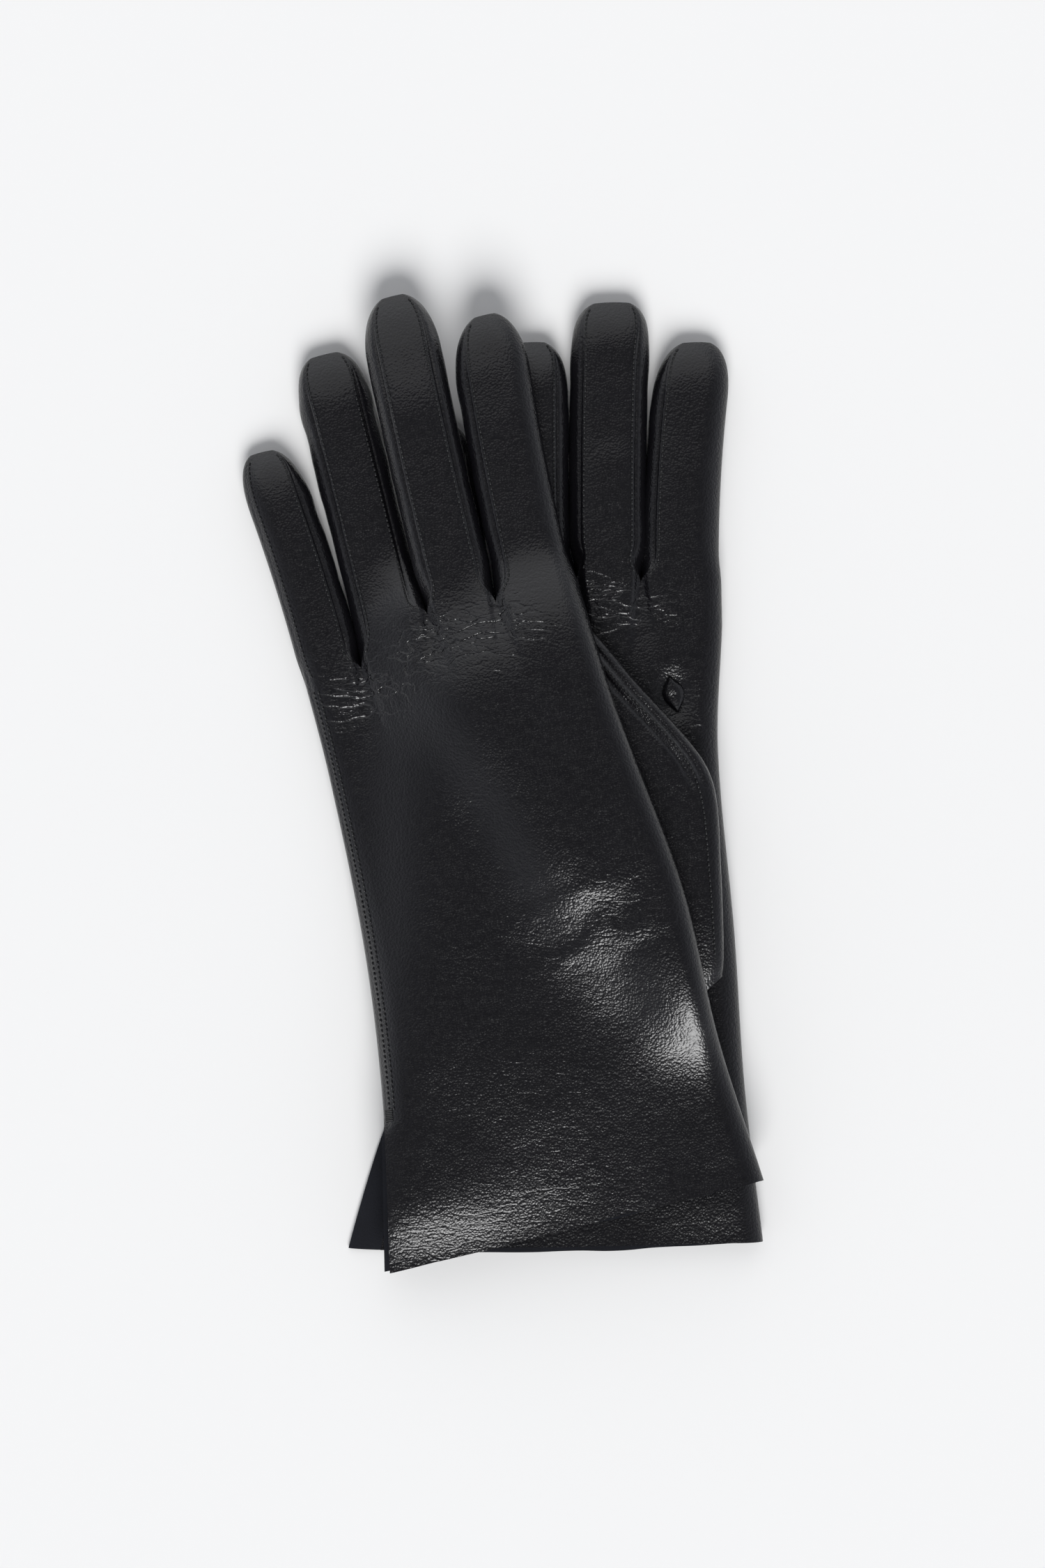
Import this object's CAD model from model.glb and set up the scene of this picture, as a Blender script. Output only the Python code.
"""Looks of a pair of long unlined leather gloves: the left one lies back up across the right one.

Every surface is worked out from the sizes in the property groups. Each glove has its own plan in
millimetres (hem centre at the origin, fingers along +Y, thumb side +X), which is turned and moved
onto the ground; points become metres when a mesh is made.
"""

import bpy
import numpy as np
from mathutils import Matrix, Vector


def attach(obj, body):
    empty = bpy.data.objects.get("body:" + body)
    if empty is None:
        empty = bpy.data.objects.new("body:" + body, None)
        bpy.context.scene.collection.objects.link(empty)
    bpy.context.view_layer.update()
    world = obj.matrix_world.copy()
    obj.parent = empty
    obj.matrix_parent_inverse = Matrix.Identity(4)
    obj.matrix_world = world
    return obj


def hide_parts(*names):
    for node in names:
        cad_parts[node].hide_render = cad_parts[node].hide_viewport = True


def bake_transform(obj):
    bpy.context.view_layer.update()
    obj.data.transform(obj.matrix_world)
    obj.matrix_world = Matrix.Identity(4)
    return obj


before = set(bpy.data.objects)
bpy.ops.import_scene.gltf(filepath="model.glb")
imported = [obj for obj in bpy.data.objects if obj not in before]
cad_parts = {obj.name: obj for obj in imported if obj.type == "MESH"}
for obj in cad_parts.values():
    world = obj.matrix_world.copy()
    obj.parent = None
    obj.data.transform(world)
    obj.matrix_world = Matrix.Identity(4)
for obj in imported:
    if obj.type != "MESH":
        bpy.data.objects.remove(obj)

bl_info = {
    "name": "Leather glove pair",
    "version": (1, 0, 0),
    "blender": (4, 5, 0),
    "location": "View3D > Sidebar > Gloves",
    "description": "Builds the looks of a pair of long leather gloves",
    "category": "Object",
}

MM = 0.001
FAR = 1e3
SIDES = ("left", "right")
LEFT, RIGHT = 0, 1
FINGERS = ("index", "middle", "ring", "little")


# ---------------------------------------------------------------- properties

def length(name, default, description):
    """A length property in metres."""
    return bpy.props.FloatProperty(
        name=name, default=default, description=description, unit="LENGTH", precision=4)


def colour(name, default, description):
    """A colour property."""
    return bpy.props.FloatVectorProperty(
        name=name, default=default, description=description, subtype="COLOR", size=3,
        min=0.0, max=1.0)


class GloveSizes(bpy.types.PropertyGroup):
    """Sizes of one glove; both gloves share them."""
    leather: length("Leather", 0.0009, "Thickness of the leather")
    loft: length("Loft", 0.0092, "Height of a lying hand or finger")
    cuff_loft: length("Cuff loft", 0.0078, "Height at the hem")
    thumb_loft: length("Thumb loft", 0.0072, "Height of a folded thumb")
    hand_len: length("Hand length", 0.178, "Hem to the gap beside the middle finger")
    cuff_w: length("Cuff width", 0.1104, "Width at the hem")
    sleeve_w: length("Sleeve width", 0.098, "Width above the hem")
    wrist_w: length("Wrist width", 0.091, "Width at the wrist")
    palm_w: length("Palm width", 0.084, "Width of the palm")
    palm_gap_rise: length("Palm gap rise", 0.012, "Extra height of the palm-side finger gaps")
    vent_len: length("Vent length", 0.044, "Length of the side vent")
    index_reach: length("Index reach", 0.082, "Index finger past the hand")
    middle_reach: length("Middle reach", 0.094, "Middle finger past the hand")
    ring_reach: length("Ring reach", 0.083, "Ring finger past the hand")
    little_reach: length("Little reach", 0.060, "Little finger past the hand")
    finger_w: length("Finger width", 0.0216, "Width of the index and middle fingers")
    side_strip_w: length("Side strip", 0.0036, "Width of a side strip seen from above")
    thumb_w: length("Thumb width", 0.027, "Width of the thumb")
    lay_gap: length("Lay gap", 0.0005, "Clear gap between pieces lying on each other")
    stitch_pitch: length("Stitch pitch", 0.0015, "Distance between stitches")
    stitch_len: length("Stitch length", 0.0010, "Length of one stitch")
    stitch_r: length("Stitch radius", 0.00028, "Half thickness of the sewing thread")


class GloveLooks(bpy.types.PropertyGroup):
    """Colours and finishes."""
    leather_colour: colour("Leather", (0.0030, 0.0028, 0.0038), "Smooth outer face")
    suede_colour: colour("Suede", (0.0070, 0.0078, 0.0115), "Inner face")
    edge_colour: colour("Cut edge", (0.02, 0.02, 0.022), "Raw cut edge")
    thread_colour: colour("Thread", (0.0050, 0.0050, 0.0056), "Sewing thread")
    floor_colour: colour("Floor", (0.865, 0.862, 0.855), "Surface below the gloves")
    leather_roughness: bpy.props.FloatProperty(
        name="Leather roughness", default=0.25, description="Roughness of the outer face")
    grain_size: length("Grain", 0.0007, "Size of one leather grain cell")
    vein_size: length("Vein", 0.0033, "Distance between fine creases")
    wrinkle: bpy.props.FloatProperty(
        name="Wrinkles", default=1.0, description="Strength of folds and dents")


class GloveStage(bpy.types.PropertyGroup):
    """Floor, light and camera."""
    frame_w: length("Frame width", 0.300, "Width of the view on the floor")
    frame_h: length("Frame height", 0.450, "Height of the view on the floor")
    view_x: length("View X", 0.0055, "Middle of the view")
    view_y: length("View Y", 0.0002, "Middle of the view")
    lens: bpy.props.FloatProperty(name="Lens", default=100.0, description="Focal length in mm")
    key_power: bpy.props.FloatProperty(name="Key", default=3.2, description="Strength of the key")
    fill_power: bpy.props.FloatProperty(name="Fill", default=0.62, description="Fill's strength")
    sky_low: bpy.props.FloatProperty(name="Sky low", default=0.75, description="Light from low down")
    sky_top: bpy.props.FloatProperty(name="Sky top", default=0.06, description="Light from above")


# ---------------------------------------------------------------- small maths

NOISE_SIZE, NOISE_START = 97, 500.0


def mix(a, b, t):
    """Straight blend from a to b."""
    return a + (b - a) * t


def smooth(t):
    """Smoothstep from 0 to 1."""
    c = np.clip(t, 0.0, 1.0)
    return c * c * (3.0 - 2.0 * c)


def curve(xs, ys, x):
    """Smooth curve through points: cubic stretches with slopes from their neighbours."""
    xs, ys, x = (np.asarray(v, float) for v in (xs, ys, x))
    n = len(xs)
    a = np.maximum(0, np.arange(n) - 1)
    b = np.minimum(n - 1, np.arange(n) + 1)
    slope = (ys[b] - ys[a]) / (xs[b] - xs[a])
    i = np.clip(np.searchsorted(xs, x, side="right") - 1, 0, n - 2)
    w = xs[i + 1] - xs[i]
    t = np.clip((x - xs[i]) / w, 0, 1)
    ease = t * t * (3 - 2 * t)
    bend = slope[i] * t * (1 - t) ** 2 - slope[i + 1] * t * t * (1 - t)
    return ys[i] + (ys[i + 1] - ys[i]) * ease + w * bend


def spin(x, y, degrees):
    """Turns points about the origin."""
    a = np.radians(degrees)
    return x * np.cos(a) - y * np.sin(a), x * np.sin(a) + y * np.cos(a)


def noise(x, y, cell, seed):
    """Smooth value noise from -1 to 1: random heights on a square grid, eased between them."""
    grid = np.random.default_rng(seed).uniform(-1, 1, (NOISE_SIZE, NOISE_SIZE))
    fx, fy = (np.asarray(v, float) / cell + NOISE_START for v in (x, y))
    ix, iy = np.floor(fx).astype(int), np.floor(fy).astype(int)
    tx, ty = fx - ix, fy - iy
    tx, ty = tx ** 3 * (tx * (tx * 6 - 15) + 10), ty ** 3 * (ty * (ty * 6 - 15) + 10)

    def at(i, j):
        return grid[i % NOISE_SIZE, j % NOISE_SIZE]

    low = mix(at(ix, iy), at(ix + 1, iy), tx)
    high = mix(at(ix, iy + 1), at(ix + 1, iy + 1), tx)
    return mix(low, high, ty)


# ---------------------------------------------------------------- the gloves' shape

class Glove:
    """Plan and heights of one glove, in millimetres, from the sizes.

    Values in pairs are the left glove's and the right glove's.
    """
    # how the glove lies: ground point of its hem's middle, and turn in degrees
    HEM_AT = ((21.05, -126.6), (19.8, -133.0))
    TURN = (14.0, 1.2)
    # plan of the hand: stations from hem to knuckles, the share of each width that lies on the
    # little-finger side, sideways shift of the fold, and the finger gaps across and along
    STATION = np.array((0, 0.25, 0.5, 0.8, 1.0))
    LITTLE_SHARE = np.array((0.5, 0.47, 0.444, 0.453, 0.458))
    FOLD_SHIFT = np.array(((0, 0.4, 2.2, 0.8, -0.6), (0, -1.1, -1.8, -0.8, 1.6)))
    GAP_SHARE = np.array(((0, 0.203, 0.473, 0.71, 1), (0, 0.226, 0.512, 0.727, 1)))
    GAP_STEP = np.array((-10, -8.3, 2, 0.5, -1.5))
    KNUCKLE_LESS = 2.4
    # per finger, index first: width step, sideways run, sag and bluntness of the tip
    W_STEP = ((0, 0, -0.4, -3.2), (0.4, 1.0, -0.6, -4.2))
    TIP_RUN = ((4.5, 2.3, 0, -4.6), (5.9, 2.6, 0.8, -4))
    TIP_SAG = ((1.2, 4.5, 0, 0), (0, 0, 0, 0))
    TIP_POWER = ((2.2, 2.3, 2.7, 2.6), (2.6, 3.2, 2.6, 2.6))
    # the left thumb: a quadratic curve, and rows of (t, share of the half width)
    THUMB_LINE = np.array(((31, 72), (34, 125), (10, 158)), float)
    THUMB_HALF = np.array(((0, 0.36), (0.1, 0.74), (0.25, 0.84), (0.5, 1), (0.65, 0.95),
                           (0.85, 0.84), (0.95, 0.66), (1, 0.36)))
    THUMB_FIT = 0.92
    THUMB_SWELL = ((0.10, 0.36), (-0.10, 0.30))
    # the right thumb shows: rows of (t, outer edge x, y, inner edge x, y)
    THUMB_EDGES = np.array(((0, 44.6, 77, 33, 67), (0.08, 45.2, 83, 30, 74),
                            (0.25, 44.9, 108, 24, 105), (0.42, 43.6, 131, 18.5, 124),
                            (0.50, 39.0, 141.5, 14, 135), (0.72, 21.0, 163, -1, 151),
                            (0.9, 7.5, 179, -10, 165), (1, 0, 183, -9, 172)))
    # rounding of the edges, finger tips, and the flare, bow and droop of the hem
    EDGE_R = 7.0
    TIP_LEN = 17.0
    FLARE_W = (1.5, 9.5)
    HEM_BOW = (0.6, 2.3)
    HEM_DROOP = 3.4
    QUIRK_HOLLOW = 1.3
    SEAM_IN, SEAM_GROOVE = 1.3, 0.35
    # soft folds: dents at the wrist, puckers and pleats below a finger gap
    WRIST_DENT = 0.34
    PUCKER, PUCKER_LEN, PLEAT = 1.7, 26.0, 0.16
    # what the glove lies on: how far the right hand's slope starts and runs, and the height grid
    SLOPE_START, SLOPE_RUN = 18.0, 15.0
    LAY_BOX = (-95.0, 95.0, -150.0, 160.0)
    LAY_STEP, SPREAD, BLUR = 1.5, 8.0, 7.0
    # where fine creases gather beside the knuckles, and how strong they are at the knuckles
    CREASED = ((27.0, 83.0), (31.0, 150.0))
    WORN = (1.0, 0.5)

    def __init__(self, side):
        s = bpy.context.scene.glove_sizes
        self.side = side
        self.name = SIDES[side]
        for key in GloveSizes.__annotations__:
            setattr(self, key, getattr(s, key) / MM)
        self.turn = self.TURN[side]
        self.up_face = "back" if side == LEFT else "palm"
        self.on_hand = self.loft + self.lay_gap
        self.widths = np.array((self.cuff_w, self.sleeve_w, self.wrist_w, self.palm_w,
                                4 * self.finger_w - self.KNUCKLE_LESS))
        self.reach = (self.index_reach, self.middle_reach, self.ring_reach, self.little_reach)
        self.under = (self.on_hand, self.on_hand, 0, 0) if side == LEFT else (0, 0, 0, 0)
        self.wrinkle = bpy.context.scene.glove_looks.wrinkle
        self.field = None
        self.tubes = None

    def little_edge(self, y):
        """Plan x of the little-finger edge."""
        return curve(self.STATION * self.hand_len, -self.widths * self.LITTLE_SHARE, y)

    def fold_edge(self, y):
        """Plan x of the fold on the index side."""
        xs = self.widths * (1 - self.LITTLE_SHARE) + self.FOLD_SHIFT[self.side]
        return curve(self.STATION * self.hand_len, xs, y)

    def root_y(self, u):
        """End of the hand across its width: the finger gaps joined by straight roots."""
        step = np.interp(u, self.GAP_SHARE[self.side], self.GAP_STEP)
        return self.hand_len + self.side * self.palm_gap_rise + step

    def gap(self, i):
        """Plan point of finger gap i, counted from the little side."""
        share = self.GAP_SHARE[self.side][i]
        y = float(self.root_y(share))
        return float(mix(self.little_edge(y), self.fold_edge(y), share)), y

    def ground(self, x, y):
        """Ground point of a plan point."""
        gx, gy = spin(x, y, self.turn)
        return gx + self.HEM_AT[self.side][0], gy + self.HEM_AT[self.side][1]

    def plan_of(self, gx, gy):
        """Plan point of a ground point."""
        at = self.HEM_AT[self.side]
        return spin(gx - at[0], gy - at[1], -self.turn)

    def thumb_at(self, t):
        """Centre, direction across and half width of the thumb at t along it."""
        t = np.asarray(t, float)
        if self.side == RIGHT:
            outer, inner = (np.stack([curve(self.THUMB_EDGES[:, 0], self.THUMB_EDGES[:, k], t)
                                      for k in pair], axis=-1) for pair in ((1, 2), (3, 4)))
            span = outer - inner
            size = np.linalg.norm(span, axis=-1)
            return (outer + inner) / 2, span / size[..., None], size / 2
        a, b, c = self.THUMB_LINE
        u = t[..., None]
        at = a * (1 - u) ** 2 + 2 * b * u * (1 - u) + c * u * u
        d = (b - a) * (1 - u) + (c - b) * u
        d /= np.linalg.norm(d, axis=-1, keepdims=True)
        half = np.interp(t, self.THUMB_HALF[:, 0], self.THUMB_HALF[:, 1])
        across = np.stack((d[..., 1], -d[..., 0]), axis=-1)
        return at, across, half * self.thumb_w / 2 * self.THUMB_FIT

    def thumb_rise(self, t):
        """Height of the thumb at t: it comes out of the palm thin and thins again at its tip."""
        start, run = self.THUMB_SWELL[self.side]
        thin = 2 * self.leather + 0.4
        rise = mix(thin, self.thumb_loft, smooth((t - start) / run))
        return rise * (1 - 0.2 * smooth((t - 0.8) * 5))

    def lay_field(self):
        """Heights of what lies under this glove on a square grid of ground points.

        The right hand and every folded thumb are spread by SPREAD and then blurred, so that the
        leather over them bridges in soft slopes.
        """
        gx = np.arange(self.LAY_BOX[0], self.LAY_BOX[1], self.LAY_STEP)
        gy = np.arange(self.LAY_BOX[2], self.LAY_BOX[3], self.LAY_STEP)
        x, y = np.meshgrid(gx, gy, indexing="ij")
        px, py = self.other.plan_of(x, y)
        top = self.hand_len + self.palm_gap_rise
        inside = px - self.other.little_edge(np.minimum(py, top))
        height = self.on_hand * smooth((inside + self.SLOPE_START) / self.SLOPE_RUN)
        for glove in (self, self.other):
            t = np.linspace(0.04, 1, 60)
            at, _, half = glove.thumb_at(t)
            tx, ty = glove.ground(at[:, 0], at[:, 1])
            for cx, cy, r, rise in zip(tx, ty, half, glove.thumb_rise(t)):
                near = np.hypot(x - cx, y - cy) - r < self.SPREAD
                lift = self.on_hand + rise + self.lay_gap + 0.5
                height = np.where(near, np.maximum(height, lift), height)
        reach = int(3 * self.BLUR / self.LAY_STEP)
        k = np.exp(-0.5 * (np.arange(-reach, reach + 1) * self.LAY_STEP / self.BLUR) ** 2)
        k /= k.sum()
        for axis in (0, 1):
            pad = [(reach, reach) if a == axis else (0, 0) for a in (0, 1)]
            wide = np.pad(height, pad, mode="edge")
            n = height.shape[axis]
            height = sum(w * np.take(wide, range(i, i + n), axis=axis) for i, w in enumerate(k))
        return height

    def drape(self, x, y):
        """Height of the surface below this glove, read from the field with eased cubic steps."""
        x, y = np.broadcast_arrays(np.asarray(x, float), np.asarray(y, float))
        if self.side == RIGHT:
            return np.zeros(x.shape)
        if self.field is None:
            self.field = self.lay_field()
        gx, gy = self.ground(x, y)
        fx, fy = (gx - self.LAY_BOX[0]) / self.LAY_STEP, (gy - self.LAY_BOX[2]) / self.LAY_STEP
        ix = np.clip(np.floor(fx).astype(int), 1, self.field.shape[0] - 3)
        iy = np.clip(np.floor(fy).astype(int), 1, self.field.shape[1] - 3)
        out = 0
        for dx, wx in enumerate(spline_weights(fx - ix)):
            for dy, wy in enumerate(spline_weights(fy - iy)):
                out = out + wx * wy * self.field[ix + dx - 1, iy + dy - 1]
        return out

    def half_height(self, y):
        """Half the height of the lying hand, lower at the hem."""
        return mix(self.cuff_loft, self.loft, smooth(y / (self.hand_len / 3))) / 2

    def folds(self, x, y, up):
        """Height added by soft dents, creases and the puckers below each finger gap."""
        seed = 11 + 7 * self.side + (3 if up > 0 else 0)
        past_hem = smooth(y / 12.0)
        wx, wy = self.CREASED[self.side]
        wave = 0.36 * noise(x, y * 0.7, 34, seed) + 0.16 * noise(x, y, 15, seed + 1)
        out = wave + 0.03 * noise(x, y, 5, seed + 2)
        if self.side == LEFT and up > 0:
            at_wrist = np.exp(-((x - wx + 3) / 20) ** 2 - ((y - wy) / 10) ** 2)
            ripple = np.sin((y - 0.3 * x + noise(x, y, 9, 77) * 3) / 2.6)
            out = out + self.WRIST_DENT * at_wrist * ripple
            out = out - self.HEM_DROOP * np.exp(-(np.maximum(y, 0) / 10) ** 1.6) * smooth(0.25 - x / 48)
        if up > 0:
            qx, qy = QUIRK_AT
            r = np.hypot((x - qx) / 5.0, (y - qy) / 7.5)
            out = out - (self.side == RIGHT) * self.QUIRK_HOLLOW * np.exp(-r ** 3)
        for i in (1, 2, 3):
            gx, gy = self.gap(i)
            back = gy - y
            spread = 1.6 + 0.16 * np.maximum(back, 0)
            near = 1 - smooth(back / self.PUCKER_LEN)
            out = out - self.PUCKER * near * np.exp(-((x - gx) / spread) ** 2)
            pleats = np.cos((x - gx) / (0.75 + 0.035 * np.maximum(back, 0)) * 1.9)
            out = out + self.PLEAT * pleats * near * np.exp(-((x - gx) / (spread * 2.2)) ** 2)
        return self.wrinkle * out * mix(0.8 if self.side == LEFT else 0.45, 1.0, past_hem)

    def hand_surface(self, x, y, up, x0, x1):
        """Outer face of a lying hand: flat in the middle, rounded to mid height at both edges.

        Beside the vent the little-finger edge isn't sewn, so there it stays flat.
        """
        h = self.half_height(y)
        sewn = smooth((y - self.vent_len + 8) / 8)
        d = np.minimum(x - x0 + self.EDGE_R * (1 - sewn), x1 - x)
        q = np.sqrt(1 - np.clip(1 - d / self.EDGE_R, 0, 1) ** 2)
        seam = self.SEAM_GROOVE * np.exp(-((x - x0 - self.SEAM_IN) / 0.6) ** 2) * (up > 0) * sewn
        fold = self.folds(x, y, up) * (q * q if up > 0 else 0.3 * q)
        return self.drape(x, y) + h + up * (h * q + fold - seam)

    def crease(self, x, y):
        """Where fine creases show, from 0 to 1: knuckles, finger gaps, wrist and hem corners."""
        out = 0.09 * smooth(noise(x, y, 22, 301 + self.side) * 1.4)
        for i in (1, 2, 3):
            gx, gy = self.gap(i)
            near = ((x - gx) / 12) ** 2 + ((y - gy + 7) / 8) ** 2
            out = out + self.WORN[self.side] * np.exp(-near)
        wx, wy = self.CREASED[self.side]
        out = out + 0.28 * np.exp(-((x - wx) / 22) ** 2 - ((y - wy) / 14) ** 2)
        out = out + 0.16 * np.exp(-((y - 8) / 10) ** 2) * smooth(0.5 - x / 60)
        return np.clip(out, 0, 1)


def spline_weights(t):
    """Weights of four neighbours for a uniform cubic B-spline."""
    return ((1 - t) ** 3 / 6, (3 * t ** 3 - 6 * t * t + 4) / 6,
            (-3 * t ** 3 + 3 * t * t + 3 * t + 1) / 6, t ** 3 / 6)


def make_gloves():
    """Both gloves, each knowing the other."""
    gloves = [Glove(LEFT), Glove(RIGHT)]
    gloves[LEFT].other, gloves[RIGHT].other = gloves[RIGHT], gloves[LEFT]
    return gloves


# ---------------------------------------------------------------- mesh tools

RING_AT = np.radians(np.arange(6) * 60)


def grid_normals(p):
    """Unit normals of a grid of points from its two directions."""
    n = np.cross(np.gradient(p, axis=1), np.gradient(p, axis=0))
    size = np.linalg.norm(n, axis=2, keepdims=True)
    return n / np.maximum(size, 1e-9)


def new_object(name, verts, quads, mats, mat_index=None):
    """A mesh object at the origin from whole arrays; verts are in millimetres."""
    verts = np.asarray(verts, float) * MM
    quads = np.asarray(quads, int)
    v = verts[quads]
    volume = np.einsum("ij,ij->", np.cross(v[:, 0], v[:, 1]), v[:, 2]) \
        + np.einsum("ij,ij->", np.cross(v[:, 0], v[:, 2]), v[:, 3])
    if volume < 0:
        quads = quads[:, ::-1]
    mesh = bpy.data.meshes.new(name)
    mesh.vertices.add(len(verts))
    mesh.vertices.foreach_set("co", verts.ravel())
    mesh.loops.add(quads.size)
    mesh.loops.foreach_set("vertex_index", quads.ravel())
    mesh.polygons.add(len(quads))
    mesh.polygons.foreach_set("loop_start", np.arange(0, quads.size, 4))
    mesh.polygons.foreach_set("use_smooth", np.full(len(quads), True))
    for m in mats:
        mesh.materials.append(m)
    if mat_index is not None:
        mesh.polygons.foreach_set("material_index", np.asarray(mat_index, int))
    mesh.update(calc_edges=True)
    mesh.validate()
    obj = bpy.data.objects.new(name, mesh)
    bpy.context.scene.collection.objects.link(obj)
    return obj


def grid_quads(rows, cols, start=0):
    """Quads of a grid of points numbered row by row."""
    i = start + (np.arange(rows - 1)[:, None] * cols + np.arange(cols - 1)[None, :]).ravel()
    return np.stack((i, i + 1, i + cols + 1, i + cols), axis=1)


def shade_sheet(mesh, normals, faces):
    """Sets a sheet's corner normals: the given ones outside, their opposites inside, a flat rim.

    The first faces are the outer side, as many again the inner side, and the rest the rim.
    """
    at = np.zeros(len(mesh.loops), int)
    mesh.loops.foreach_get("vertex_index", at)
    flat = np.zeros(len(mesh.polygons) * 3)
    mesh.polygons.foreach_get("normal", flat)
    corners_of_side = faces * 4
    outer, inner = at[:corners_of_side], at[corners_of_side:2 * corners_of_side]
    rim = np.repeat(flat.reshape(-1, 3)[2 * faces:], 4, axis=0)
    corner = np.concatenate((normals[outer], -normals[inner - len(normals)], rim))
    mesh.normals_split_custom_set(corner.tolist())


def leather_sheet(name, outer, inner, normals, crease=0.06):
    """A closed sheet: an outer and an inner grid joined round the rim; the rim is a cut edge.

    normals are the outer face's own, so that pieces cut from one surface shade as one. crease, a
    number or one per outer point, says how strongly fine creases show there.
    """
    rows, cols = outer.shape[:2]
    n = rows * cols
    out = grid_quads(rows, cols)
    back = grid_quads(rows, cols, n)[:, ::-1]
    idx = np.arange(n).reshape(rows, cols)
    loop = np.concatenate((idx[0, :-1], idx[:-1, -1], idx[-1, :0:-1], idx[:0:-1, 0]))
    nxt = np.roll(loop, -1)
    rim = np.stack((nxt, loop, loop + n, nxt + n), axis=1)
    verts = np.concatenate((outer.reshape(-1, 3), inner.reshape(-1, 3)))
    kinds = np.repeat((0, 1, 2), (len(out), len(back), len(rim)))
    mats = [material("leather"), material("suede"), material("cut_edge")]
    obj = new_object(name, verts, np.concatenate((out, back, rim)), mats, kinds)
    shade_sheet(obj.data, normals.reshape(-1, 3), len(out))
    worn = np.broadcast_to(np.asarray(crease, np.float32), (rows, cols)).ravel()
    attribute = obj.data.attributes.new("crease", "FLOAT", "POINT")
    attribute.data.foreach_set("value", np.concatenate((worn, worn)).astype(np.float32))
    return obj


def along(path, pitch):
    """Points and directions at equal steps along a path of points."""
    step = np.linalg.norm(np.diff(path, axis=0), axis=1)
    run = np.concatenate(((0,), np.cumsum(step)))
    at = np.arange(pitch / 2, run[-1], pitch)
    pts = np.stack([np.interp(at, run, path[:, k]) for k in range(3)], axis=1)
    ahead = np.stack([np.interp(at + pitch / 4, run, path[:, k]) for k in range(3)], axis=1)
    d = ahead - pts
    return pts, d / np.maximum(np.linalg.norm(d, axis=1, keepdims=True), 1e-9), at / run[-1]


def bar_quads(rings):
    """Quads of a bar of six-sided rings with a cap at each end."""
    k = np.arange(6)
    sides = [np.stack((r * 6 + k, r * 6 + (k + 1) % 6, (r + 1) * 6 + (k + 1) % 6,
                       (r + 1) * 6 + k), 1) for r in range(rings - 1)]
    first = np.array(((0, 5, 4, 3), (0, 3, 2, 1)))
    last = np.array(((0, 1, 2, 3), (0, 3, 4, 5))) + 6 * (rings - 1)
    return np.concatenate((*sides, first, last))


def stitch_rows(name, rows, glove):
    """Short rounded stitches along rows of (path, normals): each is a capped six-sided bar."""
    verts, quads, count = [], [], 0
    ends = np.array((-0.5, -0.42, 0.42, 0.5)) * glove.stitch_len
    fat = np.array((0.25, 1.0, 1.0, 0.25)) * glove.stitch_r
    for path, normals in rows:
        pts, d, share = along(path, glove.stitch_pitch)
        if len(pts) < 2:
            continue
        at = share * (len(normals) - 1)
        n = np.stack([np.interp(at, np.arange(len(normals)), normals[:, k])
                      for k in range(3)], axis=1)
        n -= d * np.einsum("ij,ij->i", n, d)[:, None]
        n /= np.maximum(np.linalg.norm(n, axis=1, keepdims=True), 1e-9)
        b = np.cross(d, n)
        ring = (b[:, None, None] * (np.cos(RING_AT) * fat[:, None])[None, ..., None]
                + n[:, None, None] * (np.sin(RING_AT) * fat[:, None])[None, ..., None]
                + d[:, None, None] * ends[None, :, None, None]
                + (pts + n * glove.stitch_r * 0.45)[:, None, None])
        m = len(pts)
        points = 6 * len(ends)
        base = count + np.arange(m)[:, None] * points
        verts.append(ring.reshape(-1, 3))
        quads.append((base[:, :, None] + bar_quads(len(ends))[None]).reshape(-1, 4))
        count += m * points
    obj = new_object(name, np.concatenate(verts), np.concatenate(quads), [material("thread")])
    return obj


# ---------------------------------------------------------------- materials

CREASE_TURN, CREASE_STRETCH = -0.45, 0.32


def node_tree(name):
    """An empty node material with a Principled shader and an output."""
    mat = bpy.data.materials.new(name)
    mat.use_nodes = True
    nodes, links = mat.node_tree.nodes, mat.node_tree.links
    nodes.clear()
    out = nodes.new("ShaderNodeOutputMaterial")
    shader = nodes.new("ShaderNodeBsdfPrincipled")
    links.new(shader.outputs["BSDF"], out.inputs["Surface"])
    coords = nodes.new("ShaderNodeTexCoord")
    return mat, nodes, links, shader, coords.outputs["Object"]


def tex_noise(nodes, links, coords, scale, detail, rough):
    """Value of a noise texture; scale is in waves per metre."""
    tex = nodes.new("ShaderNodeTexNoise")
    tex.inputs["Scale"].default_value = scale
    tex.inputs["Detail"].default_value = detail
    tex.inputs["Roughness"].default_value = rough
    links.new(coords, tex.inputs["Vector"])
    return tex.outputs["Fac"]


def ramp(nodes, links, source, low, high):
    """Maps 0..1 to a range of values."""
    node = nodes.new("ShaderNodeMapRange")
    node.inputs["To Min"].default_value = low
    node.inputs["To Max"].default_value = high
    links.new(source, node.inputs["Value"])
    return node.outputs["Result"]


def tint(nodes, links, source, dark, light):
    """Mixes two colours by a value."""
    node = nodes.new("ShaderNodeMix")
    node.data_type = "RGBA"
    node.inputs[6].default_value = (*dark, 1)
    node.inputs[7].default_value = (*light, 1)
    links.new(source, node.inputs["Factor"])
    return node.outputs[2]


def bump(nodes, links, height, distance, strength, under=None):
    """Normal bent by a height, on top of another bump's normal if one is given."""
    node = nodes.new("ShaderNodeBump")
    node.inputs["Distance"].default_value = distance
    node.inputs["Strength"].default_value = strength
    links.new(height, node.inputs["Height"])
    if under is not None:
        links.new(under, node.inputs["Normal"])
    return node.outputs["Normal"]


def sum_node(nodes, links, operation, source):
    """A maths node with its first value linked."""
    node = nodes.new("ShaderNodeMath")
    node.operation = operation
    links.new(source, node.inputs[0])
    return node


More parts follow.
